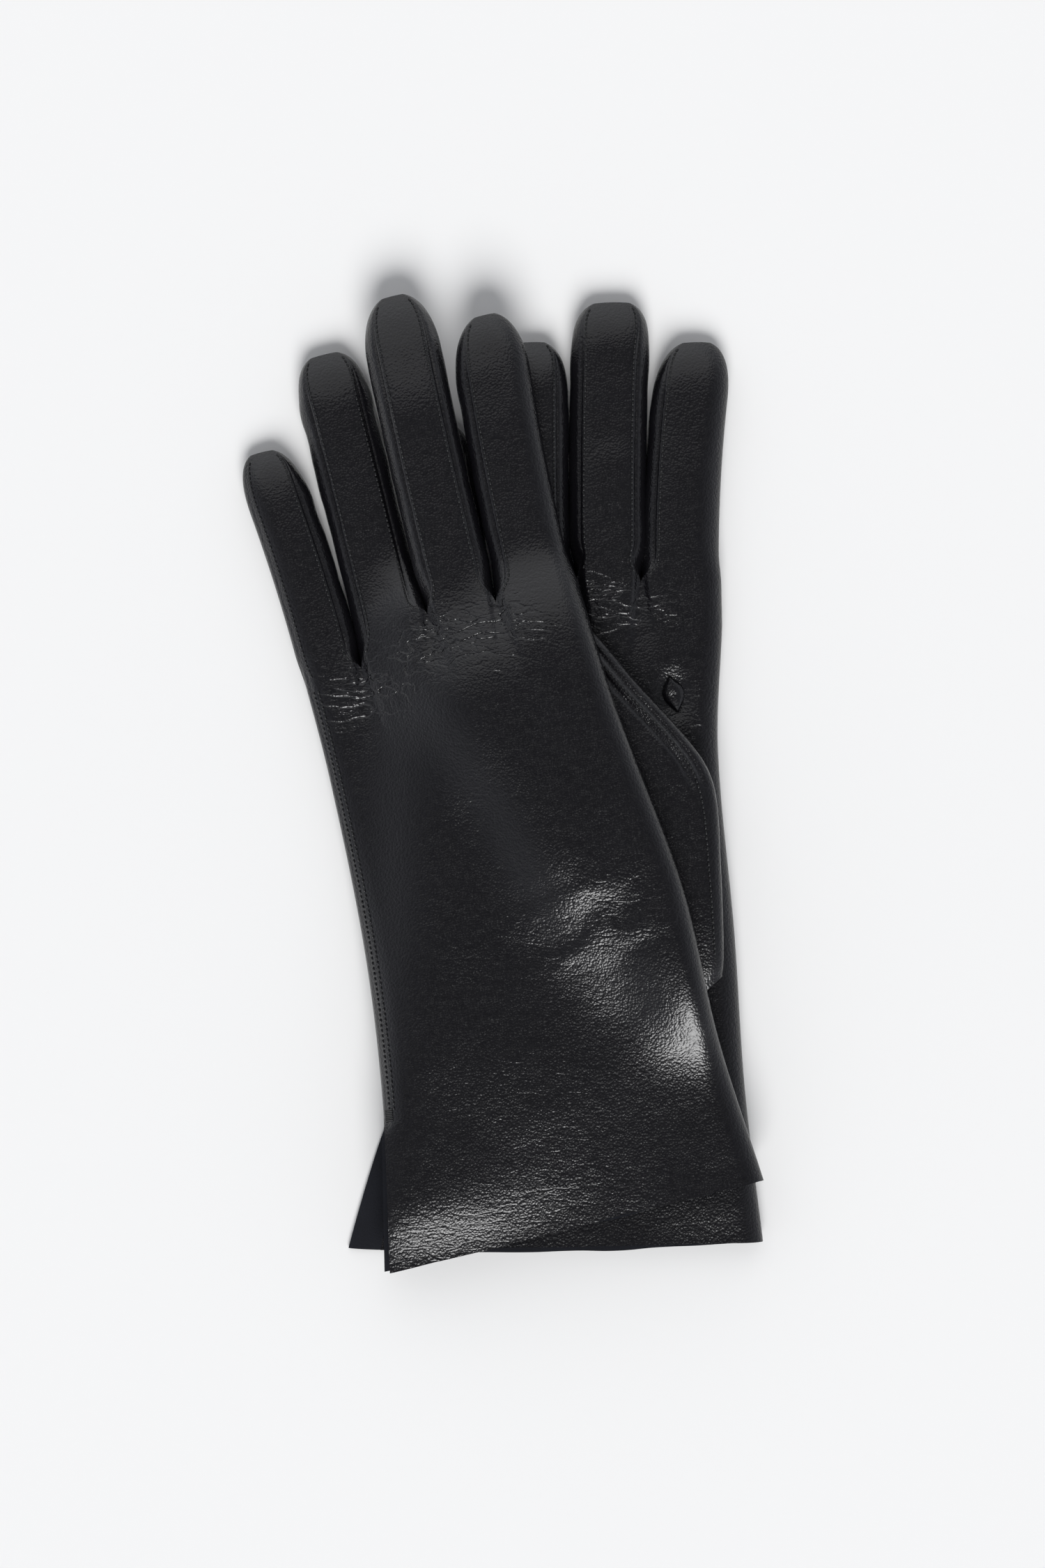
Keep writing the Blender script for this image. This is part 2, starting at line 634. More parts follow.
def crease_lines(nodes, links, coords, scale, width, worn):
    """Height of fine creases: 1 between them and 0 along them, only where the leather is worn.

    A crease runs where a stretched noise crosses its middle value.
    """
    turned = nodes.new("ShaderNodeMapping")
    turned.inputs["Rotation"].default_value = (0, 0, CREASE_TURN)
    turned.inputs["Scale"].default_value = (CREASE_STRETCH, 1.0, 1.0)
    links.new(coords, turned.inputs["Vector"])
    field = tex_noise(nodes, links, turned.outputs["Vector"], scale, 1.6, 0.5)
    off = sum_node(nodes, links, "SUBTRACT", field)
    off.inputs[1].default_value = 0.5
    away = sum_node(nodes, links, "ABSOLUTE", off.outputs["Value"])
    line = nodes.new("ShaderNodeMapRange")
    line.inputs["From Max"].default_value = width
    links.new(away.outputs["Value"], line.inputs["Value"])
    depth = sum_node(nodes, links, "MULTIPLY", line.outputs["Result"])
    links.new(worn, depth.inputs[1])
    return depth.outputs["Value"]


def pebble_grain(nodes, links, coords, size):
    """Distance to the middle of the nearest grain cell, with the cells slightly warped."""
    grain = nodes.new("ShaderNodeTexVoronoi")
    grain.feature = "F1"
    grain.inputs["Scale"].default_value = 1.0 / size
    warp = nodes.new("ShaderNodeTexNoise")
    warp.inputs["Scale"].default_value = 350.0
    mixer = nodes.new("ShaderNodeMix")
    mixer.data_type = "VECTOR"
    mixer.inputs["Factor"].default_value = 0.0012
    links.new(coords, warp.inputs["Vector"])
    links.new(coords, mixer.inputs[4])
    links.new(warp.outputs["Color"], mixer.inputs[5])
    links.new(mixer.outputs[1], grain.inputs["Vector"])
    return grain.outputs["Distance"]


def leather_material():
    """Smooth nappa: pebble grain with pores, fine creases where worn, and a soft gloss."""
    looks = bpy.context.scene.glove_looks
    mat, nodes, links, shader, coords = node_tree("leather")
    grain = pebble_grain(nodes, links, coords, looks.grain_size)
    worn = nodes.new("ShaderNodeAttribute")
    worn.attribute_name = "crease"
    deep = crease_lines(nodes, links, coords, 1.0 / looks.vein_size, 0.05, worn.outputs["Fac"])
    faint = crease_lines(nodes, links, coords, 2.3 / looks.vein_size, 0.08, worn.outputs["Fac"])
    mid = tex_noise(nodes, links, coords, 420.0, 4.0, 0.6)
    soft = tex_noise(nodes, links, coords, 60.0, 3.0, 0.5)
    base = tuple(looks.leather_colour)
    light = tuple(c * 1.5 + 0.0005 for c in base)
    links.new(tint(nodes, links, soft, base, light), shader.inputs["Base Color"])
    rough = looks.leather_roughness
    links.new(ramp(nodes, links, mid, rough - 0.05, rough + 0.06), shader.inputs["Roughness"])
    first = bump(nodes, links, soft, 0.0006, 0.25)
    second = bump(nodes, links, mid, 0.00012, 0.35, first)
    third = bump(nodes, links, deep, 0.00030, 0.75, second)
    fourth = bump(nodes, links, faint, 0.00012, 0.55, third)
    last = bump(nodes, links, grain, -0.00015, 0.62, fourth)
    links.new(last, shader.inputs["Normal"])
    shader.inputs["IOR"].default_value = 1.5
    shader.inputs["Specular IOR Level"].default_value = 0.6
    return mat


def suede_material():
    """Napped flesh side: dull, with soft fibres."""
    looks = bpy.context.scene.glove_looks
    mat, nodes, links, shader, coords = node_tree("suede")
    nap = tex_noise(nodes, links, coords, 1500.0, 4.0, 0.7)
    cloud = tex_noise(nodes, links, coords, 90.0, 3.0, 0.5)
    base = tuple(looks.suede_colour)
    links.new(tint(nodes, links, cloud, tuple(c * 0.7 for c in base),
                   tuple(c * 1.4 for c in base)), shader.inputs["Base Color"])
    links.new(ramp(nodes, links, nap, 0.85, 1.0), shader.inputs["Roughness"])
    links.new(bump(nodes, links, nap, 0.0003, 0.6), shader.inputs["Normal"])
    shader.inputs["Sheen Weight"].default_value = 0.06
    shader.inputs["Sheen Roughness"].default_value = 0.6
    shader.inputs["Specular IOR Level"].default_value = 0.2
    return mat


def edge_material():
    """Raw cut edge of the leather, a little fibrous."""
    looks = bpy.context.scene.glove_looks
    mat, nodes, links, shader, coords = node_tree("cut_edge")
    fibre = tex_noise(nodes, links, coords, 2200.0, 3.0, 0.6)
    base = tuple(looks.edge_colour)
    links.new(tint(nodes, links, fibre, tuple(c * 0.6 for c in base), base),
              shader.inputs["Base Color"])
    links.new(bump(nodes, links, fibre, 0.0002, 0.5), shader.inputs["Normal"])
    shader.inputs["Roughness"].default_value = 0.9
    shader.inputs["Specular IOR Level"].default_value = 0.25
    return mat


def thread_material():
    """Twisted polyester thread."""
    looks = bpy.context.scene.glove_looks
    mat, nodes, links, shader, coords = node_tree("thread")
    ply = nodes.new("ShaderNodeTexWave")
    ply.inputs["Scale"].default_value = 1400.0
    ply.inputs["Distortion"].default_value = 1.5
    links.new(coords, ply.inputs["Vector"])
    base = tuple(looks.thread_colour)
    links.new(tint(nodes, links, ply.outputs["Fac"], base, tuple(c * 2.2 for c in base)),
              shader.inputs["Base Color"])
    links.new(bump(nodes, links, ply.outputs["Fac"], 0.00008, 0.6), shader.inputs["Normal"])
    shader.inputs["Roughness"].default_value = 0.4
    return mat


def floor_material():
    """Matte pale paper with a faint tooth."""
    looks = bpy.context.scene.glove_looks
    mat, nodes, links, shader, coords = node_tree("floor")
    tooth = tex_noise(nodes, links, coords, 300.0, 3.0, 0.5)
    base = tuple(looks.floor_colour)
    links.new(tint(nodes, links, tooth, tuple(c * 0.995 for c in base), base),
              shader.inputs["Base Color"])
    shader.inputs["Roughness"].default_value = 0.9
    shader.inputs["Specular IOR Level"].default_value = 0.2
    return mat


MAKERS = {"leather": leather_material, "suede": suede_material, "cut_edge": edge_material,
          "thread": thread_material, "floor": floor_material}


def material(name):
    """The named material, made on first use."""
    return bpy.data.materials.get(name) or MAKERS[name]()


# ---------------------------------------------------------------- hand panels

PANEL_CELLS = 36
EDGE_CROWD = 1.15
HAND_ROWS = 230


def panel_steps(f):
    """Places across a finger panel from -1 to 1, closer together at a fold or side seam."""
    t = np.linspace(-1, 1, PANEL_CELLS + 1)
    outward = {0: 1, 3: -1}.get(f, 0)
    closer = outward * np.sin(np.clip(outward * t, 0, 1) * np.pi / 2) ** EDGE_CROWD
    return np.where(outward * t > 0, closer, t)


def hand_steps(glove):
    """Places across the hand from 0 to 1 that meet every finger panel's columns."""
    share = glove.GAP_SHARE[glove.side]
    parts = []
    for i in range(4):
        u = mix(share[i], share[i + 1], (panel_steps(3 - i) + 1) / 2)
        parts.append(u if i == 0 else u[1:])
    return np.concatenate(parts)


def hand_grid(glove, up):
    """Outer grid of one half of the hand.

    Across, points run from the little-finger seam to the fold; along, from the hem to the finger
    roots. Height is the drape plus a flat loft that rounds off at the edges, plus soft folds. The
    lower half flares out at the vent, and the hem waves a little.
    """
    u = hand_steps(glove)[None, :]
    v = np.linspace(0, 1, HAND_ROWS + 1)[:, None]
    y = v * glove.root_y(u)
    run = np.clip(y / glove.vent_len, 0, 1)
    flare_w = glove.FLARE_W[glove.side]
    flare = (1 - run) ** 0.33 * smooth((1 - run) * 6) if up < 0 else np.zeros(y.shape)
    x0 = glove.little_edge(y) - flare_w * flare
    x1 = glove.fold_edge(y)
    x = mix(x0, x1, u)
    z = glove.hand_surface(x, y, up, x0, x1)
    flat = np.where(u < 0.5, flare * min(1.0, flare_w / 8), 0)
    lying = glove.drape(x, y) + 0.02
    z = mix(z, lying, flat * (z - lying > 0)) if up < 0 else z
    hem = np.exp(-y / 9.0)
    seed = 41 + glove.side * 5 + (2 if up > 0 else 0)
    z = z + hem * up * 0.5 * noise(x, 0 * x, 17, seed) * (up > 0)
    y = y + hem * 0.35 * noise(x, 0 * x, 13, seed + 1)
    y = y - hem * (up < 0) * glove.HEM_BOW[glove.side] * np.sin(np.pi * np.clip(u, 0, 1)) ** 0.7
    gx, gy = glove.ground(x, y)
    return np.stack((gx, gy, z), axis=2)


def joined_normals(glove, up, tubes):
    """Outward normals of one half of the hand, worked out as if the fingers' panels went on."""
    outer = hand_grid(glove, up)
    ahead, count = np.zeros(outer[-1].shape), np.zeros((outer.shape[1], 1))
    for f, (grid, starts) in enumerate(tubes):
        cols = root_columns(f)
        ahead[cols] += panel_of(grid, starts, up)[1]
        count[cols] += 1
    joined = np.concatenate((outer, (ahead / count)[None]))
    return grid_normals(joined)[:-1] * up


def build_hands(gloves):
    """Back and palm panels of both hands."""
    for glove in gloves:
        for face in ("back", "palm"):
            up = 1 if face == glove.up_face else -1
            outer = hand_grid(glove, up)
            n = joined_normals(glove, up, finger_tubes(glove))
            inner = outer - n * glove.leather
            node = f"{glove.name}_hand_{face}"
            px, py = glove.plan_of(outer[..., 0], outer[..., 1])
            obj = leather_sheet(f"{node}_leather", outer, inner, n, glove.crease(px, py))
            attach(obj, f"{glove.name}_hand")
            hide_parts(node)


# ---------------------------------------------------------------- fingers

FINGER_ROWS = 130
# shares of a finger's length, from its root, over which its own shape sets in
WIDTH_RUN, STRIP_RUN, RISE_RUN, DRAPE_RUN = 0.16, 0.10, 0.17, 0.30
MATCH_RUN, DENT_RUN, SEAM_RUN = 0.15, 0.20, 0.05
SEAM_DIP = 0.3
STITCH_INSET, SIDE_STITCH_INSET = 2, 9
BEND_LEN = 17.0
STRIP_AT = (1 - np.cos(np.linspace(0, 1, 15) * np.pi)) / 2


def root_columns(f):
    """Columns of the hand's grid that finger f goes on from."""
    return slice((3 - f) * PANEL_CELLS, (4 - f) * PANEL_CELLS + 1)


def panel_of(grid, starts, up):
    """The upper or lower panel of a finger's grid, with its columns in the hand's order."""
    first = starts[0] if up > 0 else starts[2]
    part = grid[:, first:first + PANEL_CELLS + 1]
    return part if up > 0 else part[:, ::-1]


def finger_tubes(glove):
    """All four fingers' grids, worked out once."""
    if glove.tubes is None:
        glove.tubes = [finger_tube(glove, f) for f in range(4)]
    return glove.tubes


def finger_tube(glove, f):
    """A finger as one grid: top panel, side strip, bottom panel and side strip, round it in turn.

    Each row is a flat-topped ring whose half width and height shrink towards the tip. Near the
    root the rows ease into the hand's own surface, so panel and hand meet without a step.
    Returns the grid and the columns at which each zone starts.
    """
    i = 3 - f
    (xa, ya), (xb, yb) = glove.gap(i), glove.gap(i + 1)
    tip_y = glove.hand_len + glove.reach[f]
    rows = np.linspace(0, 1, FINGER_ROWS + 1)
    s = (1 - (1 - rows) ** 1.25)[:, None]
    steps = panel_steps(f)
    root_half = (xb - xa) / 2
    full = (glove.finger_w + glove.W_STEP[glove.side][f]) / 2
    power = glove.TIP_POWER[glove.side][f]
    mid_x = (xa + xb) / 2 + glove.TIP_RUN[glove.side][f] * s * s
    y_mid = mix((ya + yb) / 2, tip_y, s)
    end = np.clip((y_mid - tip_y + glove.TIP_LEN) / glove.TIP_LEN, 0, 1)
    w = mix(root_half, full, smooth(s / WIDTH_RUN)) * (1 - (end * 0.97) ** power) ** (1 / power)
    strip = glove.side_strip_w * smooth(s / STRIP_RUN) * (1 - 0.85 * end ** 2)
    h = mix(glove.loft / 2, glove.leather + 0.1, end ** 3.2)
    left_free, right_free = f == 3, f == 0
    edges = xa if left_free else -FAR, xb if right_free else FAR
    lo = -(w - (0 if left_free else strip))
    hi = w - (0 if right_free else strip)

    def crown(x):
        """Share of the half height across a panel: domed, dipping at a stitched side."""
        t = 2 * (x - lo) / (hi - lo) - 1
        q = 1 - 0.10 * np.abs(t) ** 3.2
        groove = 0.0
        for inward, free in ((x - lo, left_free), (hi - x, right_free)):
            if free:
                q = q * np.sqrt(1 - np.clip(1 - inward / glove.EDGE_R, 0, 1) ** 2)
            else:
                groove = groove + np.exp(-(inward / 0.5) ** 2)
        if left_free:
            groove = groove + 0.9 * np.exp(-((x - lo - glove.SEAM_IN) / 0.5) ** 2)
        return q, groove * smooth(s / SEAM_RUN) * (1 - end)

    def place(x, dz, up_share, y):
        """Turns ring offsets into ground points, easing into the hand near the root."""
        px = mid_x + x
        hand_low, hand_top = (glove.hand_surface(px, y, side, *edges) for side in (-1, 1))
        hand_z = mix(hand_low, hand_top, (up_share + 1) / 2)
        base = mix(glove.drape(px, y), glove.under[f], smooth(s / DRAPE_RUN))
        base = base - glove.TIP_SAG[glove.side][f] * smooth((s - 0.62) / 0.38)
        tube = base + glove.loft / 2 * (1 - 0.3 * end * end) + dz
        z = mix(hand_z, tube, smooth(s / RISE_RUN))
        gx, gy = glove.ground(px, y)
        return np.stack((gx, gy, z), axis=2)

    def row_y(x):
        """Plan y of each point: straight root line to square tip."""
        k = np.clip(x / root_half, -1, 1)
        start = mix(ya, yb, (k + 1) / 2)
        return mix(start, tip_y - 1.2 * (x / full) ** 2, s)

    seed = 71 + 10 * glove.side + f
    y_along = y_mid - ya
    zones = []
    for up in (1, -1):
        t = steps[None, ::up]
        x = mix(lo, hi, (t + 1) / 2)
        q, groove = crown(x)
        dent = (0.30 * noise(x + 0 * s, y_along + 0 * x, 15, seed + 2 * up)
                + 0.05 * noise(x + 0 * s, y_along + 0 * x, 5, seed + 5 + 2 * up))
        dent = dent * smooth(s / DENT_RUN) * (1 - end) * glove.wrinkle * (1 if up > 0 else 0.25)
        dent = dent * np.clip(q * 1.4 - 0.4, 0, 1)
        dz = up * (h * q + dent - SEAM_DIP * groove)
        zone = place(x, dz, np.full(x.shape, up, float), row_y(x))
        shift = hand_grid(glove, up)[-1, root_columns(f)][::up] - zone[0]
        shift = shift[None] * (1 - smooth(s / MATCH_RUN))[..., None]
        zones.append((zone + shift, shift))
    (top, top_shift), (low, low_shift) = zones
    grid = [top]
    starts = [0, top.shape[1]]
    for right in (True, False):
        free = right_free if right else left_free
        edge, away = (hi, 1) if right else (lo, -1)
        if not free:
            e = STRIP_AT[None, 1:-1] if right else STRIP_AT[None, -2:0:-1]
            eta = (0.5 - e) * np.pi
            puff = 1 + 0.06 * noise(y_along + 0 * eta, eta * 3, 7, seed + 31)
            x = edge + away * strip * np.cos(eta) ** 1.35 * puff
            q, groove = crown(edge)
            share = np.sign(eta) * np.abs(np.sin(eta)) ** 1.35
            tuck = 0.55 * np.exp(-((1 - np.abs(2 * e - 1)) / 0.14) ** 2) * smooth(s / SEAM_RUN)
            dz = share * (h * q - SEAM_DIP * groove) - np.sign(eta) * tuck * (1 - end)
            strip_grid = place(x, dz, share + 0 * s, row_y(x))
            near_top, near_low = ((top_shift[:, -1:], low_shift[:, :1]) if right
                                  else (top_shift[:, :1], low_shift[:, -1:]))
            grid.append(strip_grid + mix(near_top, near_low, (e * np.ones(s.shape))[..., None]))
        if right:
            starts.append(sum(g.shape[1] for g in grid))
            grid.append(low)
            starts.append(sum(g.shape[1] for g in grid))
    return np.concatenate(grid, axis=1), starts


def tube_normals(grid):
    """Outward normals of a tube grid that closes on itself across its columns."""
    around = np.roll(grid, -1, axis=1) - np.roll(grid, 1, axis=1)
    ahead = np.gradient(grid, axis=0)
    n = np.cross(around, ahead)
    n /= np.maximum(np.linalg.norm(n, axis=2, keepdims=True), 1e-9)
    middle = grid.mean(axis=1, keepdims=True)
    return n * np.sign(np.einsum("ijk,ijk->", n, grid - middle))


def cut(grid, a, b):
    """Columns a to b of a tube grid, going on past its last column to its first."""
    return grid[:, np.arange(a, b + 1) % grid.shape[1]]


def bend_piece(glove, obj, start, end):
    """Blends a piece from the hand's motion to a body's between two plan points."""
    ends = [(x * MM, y * MM, 0) for x, y in (glove.ground(*start), glove.ground(*end))]
    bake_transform(obj)


def finger_blend(glove, f, obj):
    """Bends a finger piece from its root over the first stretch of the finger."""
    i = 3 - f
    (xa, ya), (xb, yb) = glove.gap(i), glove.gap(i + 1)
    root = np.array(((xa + xb) / 2, (ya + yb) / 2))
    tip = np.array(((xa + xb) / 2 + glove.TIP_RUN[glove.side][f],
                    glove.hand_len + glove.reach[f]))
    ahead = (tip - root) / np.linalg.norm(tip - root)
    near = root + ahead * max(0.0, abs(yb - ya) / 2 - 2)
    bend_piece(glove, obj, near, root + ahead * BEND_LEN)


def build_fingers(gloves):
    """Panels, side strips and stitches of all eight fingers."""
    for glove in gloves:
        for f, finger in enumerate(FINGERS):
            grid, (top, right, low, left) = finger_tubes(glove)[f]
            n = tube_normals(grid)
            for up, first in ((1, top), (-1, low)):
                root = joined_normals(glove, up, finger_tubes(glove))[-1, root_columns(f)]
                n[0, first:first + PANEL_CELLS + 1] = root[::up]
            inner = grid - n * glove.leather
            worn = glove.crease(*glove.plan_of(grid[..., 0], grid[..., 1]))
            cols = grid.shape[1]
            other = "palm" if glove.up_face == "back" else "back"
            zones = {glove.up_face: (top, right - 1), other: (low, left - 1)}
            if f > 0:
                zones["outer_strip"] = (right - 1, low)
            if f < 3:
                zones["inner_strip"] = (left - 1, cols)
            for zone, (a, b) in zones.items():
                node = f"{glove.name}_{finger}_{zone}"
                obj = leather_sheet(f"{node}_leather", cut(grid, a, b), cut(inner, a, b),
                                    cut(n, a, b), cut(worn, a, b))
                finger_blend(glove, f, obj)
                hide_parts(node)
            rows = finger_stitch_rows(glove, f, grid, n, (top, right, low, left))
            name = f"{glove.name}_{finger}_seams"
            obj = stitch_rows(f"{name}_stitches", rows, glove)
            finger_blend(glove, f, obj)
            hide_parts(name)


def finger_stitch_rows(glove, f, grid, n, zones):
    """Rows of stitches just inside each seam of a finger, on both of its faces."""
    top, right, low, left = zones
    columns = []
    if f > 0:
        columns += [right - 1 - STITCH_INSET, low + STITCH_INSET]
    if f < 3:
        columns += [top + STITCH_INSET, left - 1 - STITCH_INSET]
    if f == 3:
        columns += [top + SIDE_STITCH_INSET]
    rows = slice(4, int(FINGER_ROWS * 0.97))
    return [(grid[rows, c], n[rows, c]) for c in columns]


# ---------------------------------------------------------------- thumbs

THUMB_ROWS = 150
THUMB_RING = 96
THUMB_SEAMS = (6.0, 2.9)
THUMB_STRIP = 14
THUMB_TIP = 0.14


def thumb_tube(glove):
    """A thumb as one tube grid: flat-topped rings along its curve, closing at both ends.

    A ring is the superellipse (cos a, sin a) with both parts raised to 2 / 2.8.
    """
    t = np.linspace(0, 1, THUMB_ROWS + 1)
    at, across, half = glove.thumb_at(t)
    half = np.convolve(np.pad(half, 4, mode="edge"), np.ones(9) / 9, "valid")
    a = np.radians(np.arange(THUMB_RING) * 360 / THUMB_RING)[None, :]
    power = 2 / 2.8
    ends = np.clip((t - (1 - THUMB_TIP)) / THUMB_TIP, 0, 1)
    rise = glove.thumb_rise(t)[:, None]
    h = mix(rise[:, 0] / 2, glove.leather + 0.1, ends ** 2.4)[:, None]
    dx = half[:, None] * np.sign(np.cos(a)) * np.abs(np.cos(a)) ** power
    lift = np.sign(np.sin(a)) * np.abs(np.sin(a)) ** power
    seed = 131 + glove.side
    px = at[:, :1] + across[:, :1] * dx
    py = at[:, 1:] + across[:, 1:] * dx
    dent = 0.35 * noise(px, py, 16, seed) + 0.12 * noise(px, py, 6, seed + 1)
    inset = half[:, None] - dx
    seam, fold = THUMB_SEAMS
    line = np.exp(-((inset - seam) / 0.6) ** 2) + 0.8 * np.exp(-((inset - fold) / 0.7) ** 2)
    dent = dent - 1.2 * line * smooth((t[:, None] - 0.42) / 0.05) * (lift > 0)
    dz = h * lift + dent * np.clip(lift, 0, 1) * (1 - ends)[:, None] * glove.wrinkle
    gx, gy = glove.ground(px, py)
    z = glove.on_hand + rise / 2 + dz
    return np.stack((gx, gy, z), axis=2)


def build_thumbs(gloves):
    """Outer and inner thumb panels, the side strip and the stitches of both thumbs."""
    strip = THUMB_STRIP
    for glove in gloves:
        grid = thumb_tube(glove)
        n = tube_normals(grid)
        inner = grid - n * glove.leather
        half = THUMB_RING // 2
        up = ("thumb_inner", "thumb_outer")[glove.side]
        low = ("thumb_outer", "thumb_inner")[glove.side]
        zones = {up: (strip, half), low: (half, THUMB_RING - strip),
                 "thumb_strip": (THUMB_RING - strip, THUMB_RING + strip)}
        for zone, (a, b) in zones.items():
            node = f"{glove.name}_{zone}"
            obj = leather_sheet(f"{node}_leather", cut(grid, a, b), cut(inner, a, b),
                                cut(n, a, b))
            thumb_blend(glove, obj)
            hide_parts(node)
        rows = slice(14, int(THUMB_ROWS * 0.95))
        lines = [(grid[rows, c % THUMB_RING], n[rows, c % THUMB_RING])
                 for c in (strip + 1, -strip - 1)]
        name = f"{glove.name}_thumb_seams"
        obj = stitch_rows(f"{name}_stitches", lines, glove)
        thumb_blend(glove, obj)
        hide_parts(name)


def thumb_blend(glove, obj):
    """Bends a thumb piece where it folds over the palm, near the hand's fold."""
    at, _, half = glove.thumb_at(np.array((0.27,)))
    x, y = at[0]
    bend_piece(glove, obj, (x + half[0], y), (x - half[0] * 0.4, y))


# ---------------------------------------------------------------- small pieces

QUIRK_AT = (32.5, 158.4)
QUIRK_LEN, QUIRK_W, QUIRK_TURN = 9.6, 6.0, 12.0
SIDE_SEAM_INSETS = (1.9, 3.3)
TACK_TURNS, TACK_POINTS = 7, 12
TACK_FROM, TACK_TO = 0.5, 2.9


def build_quirks(gloves):
    """The leaf-shaped insert beside each thumb: a lens outline that swells along a sine."""
    for glove in gloves:
        up = 1 if glove.up_face == "palm" else -1
        t = np.linspace(0, 1, 41)[:, None]
        k = np.linspace(-1, 1, 17)[None, :]
        w = QUIRK_W / 2 * np.sin(np.pi * mix(0.05, 0.95, t))
        dx, dy = spin(k * w, (t - 0.5) * QUIRK_LEN + 0 * k, QUIRK_TURN)
        x, y = QUIRK_AT[0] + dx, QUIRK_AT[1] + dy
        palm = glove.hand_surface(x, y, up, -FAR, FAR)
        z = palm + up * (1.7 - 1.3 * np.abs(k) ** 2.5 + 0.2 * np.cos(t * 9))
        gx, gy = glove.ground(x, y)
        outer = np.stack((gx, gy, z), axis=2)
        inner = outer - np.array((0, 0, up * glove.leather * 0.8))
        node = f"{glove.name}_thumb_quirk"
        obj = leather_sheet(f"{node}_leather", outer, inner, grid_normals(outer) * up)
        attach(obj, f"{glove.name}_hand")
        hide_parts(node)


def build_side_seams(gloves):
    """Stitches along the little-finger side, and the bar tack that ends the vent."""
    for glove in gloves:
        y = np.linspace(glove.vent_len + 1, glove.root_y(0.0) - 0.5, 200)
        rows = []
        for inset in SIDE_SEAM_INSETS:
            x = glove.little_edge(y) + inset
            z = glove.hand_surface(x, y, 1, x - inset, x + FAR)
            gx, gy = glove.ground(x, y)
            slope = np.sqrt(np.clip(1 - (1 - inset / glove.EDGE_R) ** 2, 0, 1))
            out = np.stack((gx, gy, z), axis=1)
            a = np.radians(glove.turn)
            side = np.array((-np.cos(a), -np.sin(a), 0)) * (1 - inset / glove.EDGE_R)
            rows.append((out, np.tile(side + np.array((0, 0, slope)), (len(y), 1))))
        name = f"{glove.name}_side_seam"
        obj = stitch_rows(f"{name}_stitches", rows, glove)
        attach(obj, f"{glove.name}_hand")
        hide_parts(name)
        build_tack(glove)


def build_tack(glove):
    """A bar of close thread turns laid side by side over the end of the vent."""
    verts, quads = [], []
    thin_end = np.isin(np.arange(TACK_POINTS), (0, TACK_POINTS - 1))
    fat = glove.stitch_r * np.where(thin_end, 0.3, 1)
    for k in range(TACK_TURNS):
        step = (k - TACK_TURNS // 2) * glove.stitch_r * 1.8
        y = np.full(TACK_POINTS, glove.vent_len + step)
        inset = np.linspace(TACK_FROM, TACK_TO, TACK_POINTS)
        x = glove.little_edge(y) + inset
        z = glove.hand_surface(x, y, 1, x - inset, x + FAR)
        gx, gy = glove.ground(x, y)
        path = np.stack((gx, gy, z), axis=1)
        d = np.gradient(path, axis=0)
        d /= np.linalg.norm(d, axis=1, keepdims=True)
        side = np.cross(d, (0, 0, 1.0))
        side /= np.linalg.norm(side, axis=1, keepdims=True)
        rise = np.cross(side, d)
        ring = path[:, None] + fat[:, None, None] * (
            side[:, None] * np.cos(RING_AT)[None, :, None]
            + rise[:, None] * (np.sin(RING_AT)[None, :, None] + 0.6))
        quads.append(bar_quads(TACK_POINTS) + k * 6 * TACK_POINTS)
        verts.append(ring.reshape(-1, 3))
    name = f"{glove.name}_vent_tack"
    obj = new_object(f"{name}_thread", np.concatenate(verts), np.concatenate(quads),
                     [material("thread")])
    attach(obj, f"{glove.name}_hand")
    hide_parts(name)


# ---------------------------------------------------------------- stage

KEY_FROM, KEY_SPREAD = (0.10, -1.12, 1.0), 36.0
FILL_FROM, FILL_SPREAD = (-0.3, 1.15, 1.0), 74.0
SKY_COLOUR = (0.9, 0.93, 1, 1)
FLOOR_HALF, FLOOR_BELOW = 3, 0.0003
SENSOR_W, FOCUS_HEIGHT = 36.0, 0.012


def sun_light(name, way, strength, spread):
    """A soft distant light that comes from a direction; spread is its width in degrees."""
    data = bpy.data.lights.new(name, "SUN")
    data.energy = strength
    data.angle = np.radians(spread)
    obj = bpy.data.objects.new(name, data)
    obj.rotation_euler = Vector(way).to_track_quat("Z", "Y").to_euler()
    bpy.context.scene.collection.objects.link(obj)
    return obj


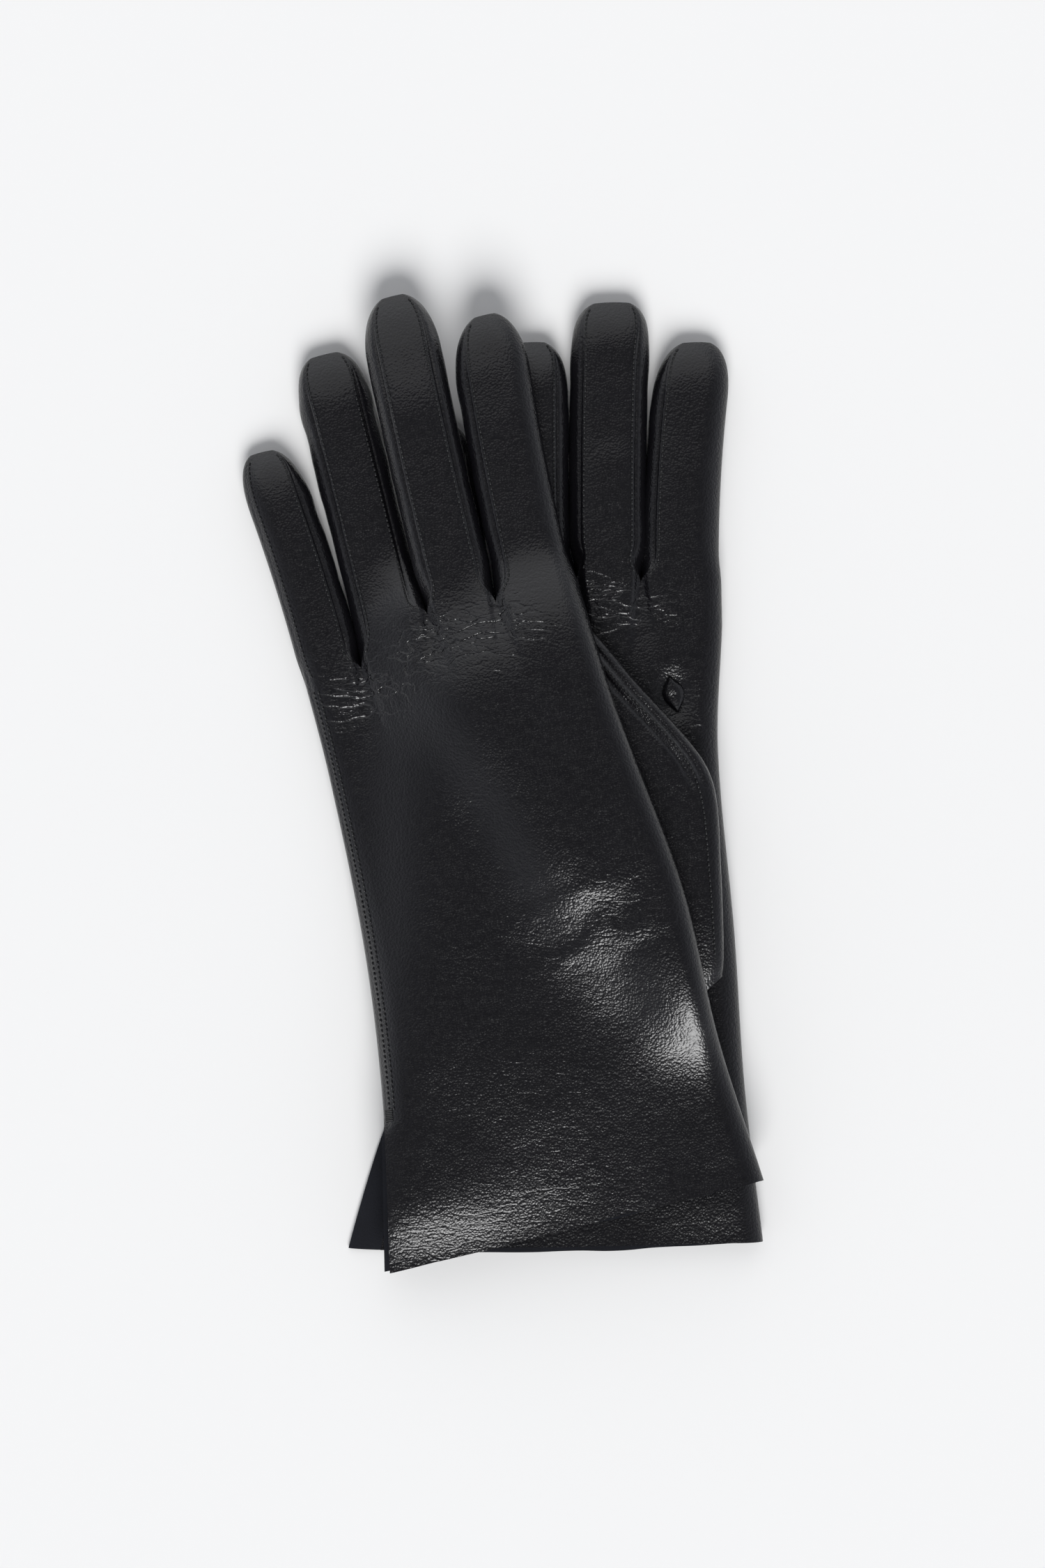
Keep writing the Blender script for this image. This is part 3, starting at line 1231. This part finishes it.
def build_stage():
    """Pale floor, a soft key from the cuff side, a weak fill from beyond, and the camera."""
    stage = bpy.context.scene.glove_stage
    w = FLOOR_HALF
    mesh = bpy.data.meshes.new("floor")
    mesh.from_pydata([(-w, -w, 0), (w, -w, 0), (w, w, 0), (-w, w, 0)], [], [(0, 1, 2, 3)])
    mesh.materials.append(material("floor"))
    floor = bpy.data.objects.new("floor", mesh)
    bpy.context.scene.collection.objects.link(floor)
    floor.location.z = -FLOOR_BELOW
    key = sun_light("key", KEY_FROM, stage.key_power, KEY_SPREAD)
    fill = sun_light("fill", FILL_FROM, stage.fill_power, FILL_SPREAD)
    world = bpy.data.worlds.new("studio")
    world.use_nodes = True
    world.node_tree.nodes["Background"].inputs["Color"].default_value = SKY_COLOUR
    nodes, links = world.node_tree.nodes, world.node_tree.links
    around = nodes.new("ShaderNodeTexCoord")
    split = nodes.new("ShaderNodeSeparateXYZ")
    links.new(around.outputs["Generated"], split.inputs["Vector"])
    links.new(ramp(nodes, links, split.outputs["Z"], stage.sky_low, stage.sky_top),
              nodes["Background"].inputs["Strength"])
    bpy.context.scene.world = world
    data = bpy.data.cameras.new("camera")
    data.sensor_width = SENSOR_W
    data.lens = stage.lens
    distance = stage.lens / SENSOR_W * stage.frame_h
    camera = bpy.data.objects.new("camera", data)
    camera.location = (stage.view_x, stage.view_y, distance + FOCUS_HEIGHT)
    bpy.context.scene.collection.objects.link(camera)
    bpy.context.scene.camera = camera
    bpy.context.scene.view_settings.view_transform = "Standard"


# ---------------------------------------------------------------- operators and panel

class GLOVES_OT_hands(bpy.types.Operator):
    """Build the back and palm panels of both hands"""
    bl_idname = "gloves.hands"
    bl_label = "Hand panels"

    def execute(self, context):
        build_hands(make_gloves())
        return {"FINISHED"}


class GLOVES_OT_fingers(bpy.types.Operator):
    """Build the panels, side strips and stitches of all fingers"""
    bl_idname = "gloves.fingers"
    bl_label = "Fingers"

    def execute(self, context):
        build_fingers(make_gloves())
        return {"FINISHED"}


class GLOVES_OT_thumbs(bpy.types.Operator):
    """Build both thumbs"""
    bl_idname = "gloves.thumbs"
    bl_label = "Thumbs"

    def execute(self, context):
        build_thumbs(make_gloves())
        return {"FINISHED"}


class GLOVES_OT_quirks(bpy.types.Operator):
    """Build the leaf-shaped inserts beside the thumbs"""
    bl_idname = "gloves.quirks"
    bl_label = "Quirks"

    def execute(self, context):
        build_quirks(make_gloves())
        return {"FINISHED"}


class GLOVES_OT_side_seams(bpy.types.Operator):
    """Build the side seams' stitches and the vents' bar tacks"""
    bl_idname = "gloves.side_seams"
    bl_label = "Side seams"

    def execute(self, context):
        build_side_seams(make_gloves())
        return {"FINISHED"}


class GLOVES_OT_stage(bpy.types.Operator):
    """Build the floor, the lights and the camera"""
    bl_idname = "gloves.stage"
    bl_label = "Stage"

    def execute(self, context):
        build_stage()
        return {"FINISHED"}


OPERATORS = (GLOVES_OT_hands, GLOVES_OT_fingers, GLOVES_OT_thumbs, GLOVES_OT_quirks,
             GLOVES_OT_side_seams, GLOVES_OT_stage)


class GLOVES_PT_panel(bpy.types.Panel):
    """Lists the glove builders"""
    bl_label = "Gloves"
    bl_idname = "GLOVES_PT_panel"
    bl_space_type = "VIEW_3D"
    bl_region_type = "UI"
    bl_category = "Gloves"

    def draw(self, context):
        for op in OPERATORS:
            self.layout.operator(op.bl_idname)


GROUPS = {"glove_sizes": GloveSizes, "glove_looks": GloveLooks, "glove_stage": GloveStage}


def register():
    for cls in (*GROUPS.values(), *OPERATORS, GLOVES_PT_panel):
        bpy.utils.register_class(cls)
    for name, cls in GROUPS.items():
        setattr(bpy.types.Scene, name, bpy.props.PointerProperty(type=cls))


def unregister():
    for name in GROUPS:
        delattr(bpy.types.Scene, name)
    for cls in (GLOVES_PT_panel, *reversed(OPERATORS), *reversed(tuple(GROUPS.values()))):
        bpy.utils.unregister_class(cls)


def main():
    register()
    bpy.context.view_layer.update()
    for op in ("hands", "fingers", "thumbs", "quirks", "side_seams", "stage"):
        getattr(bpy.ops.gloves, op)()


if __name__ == "__main__":
    main()
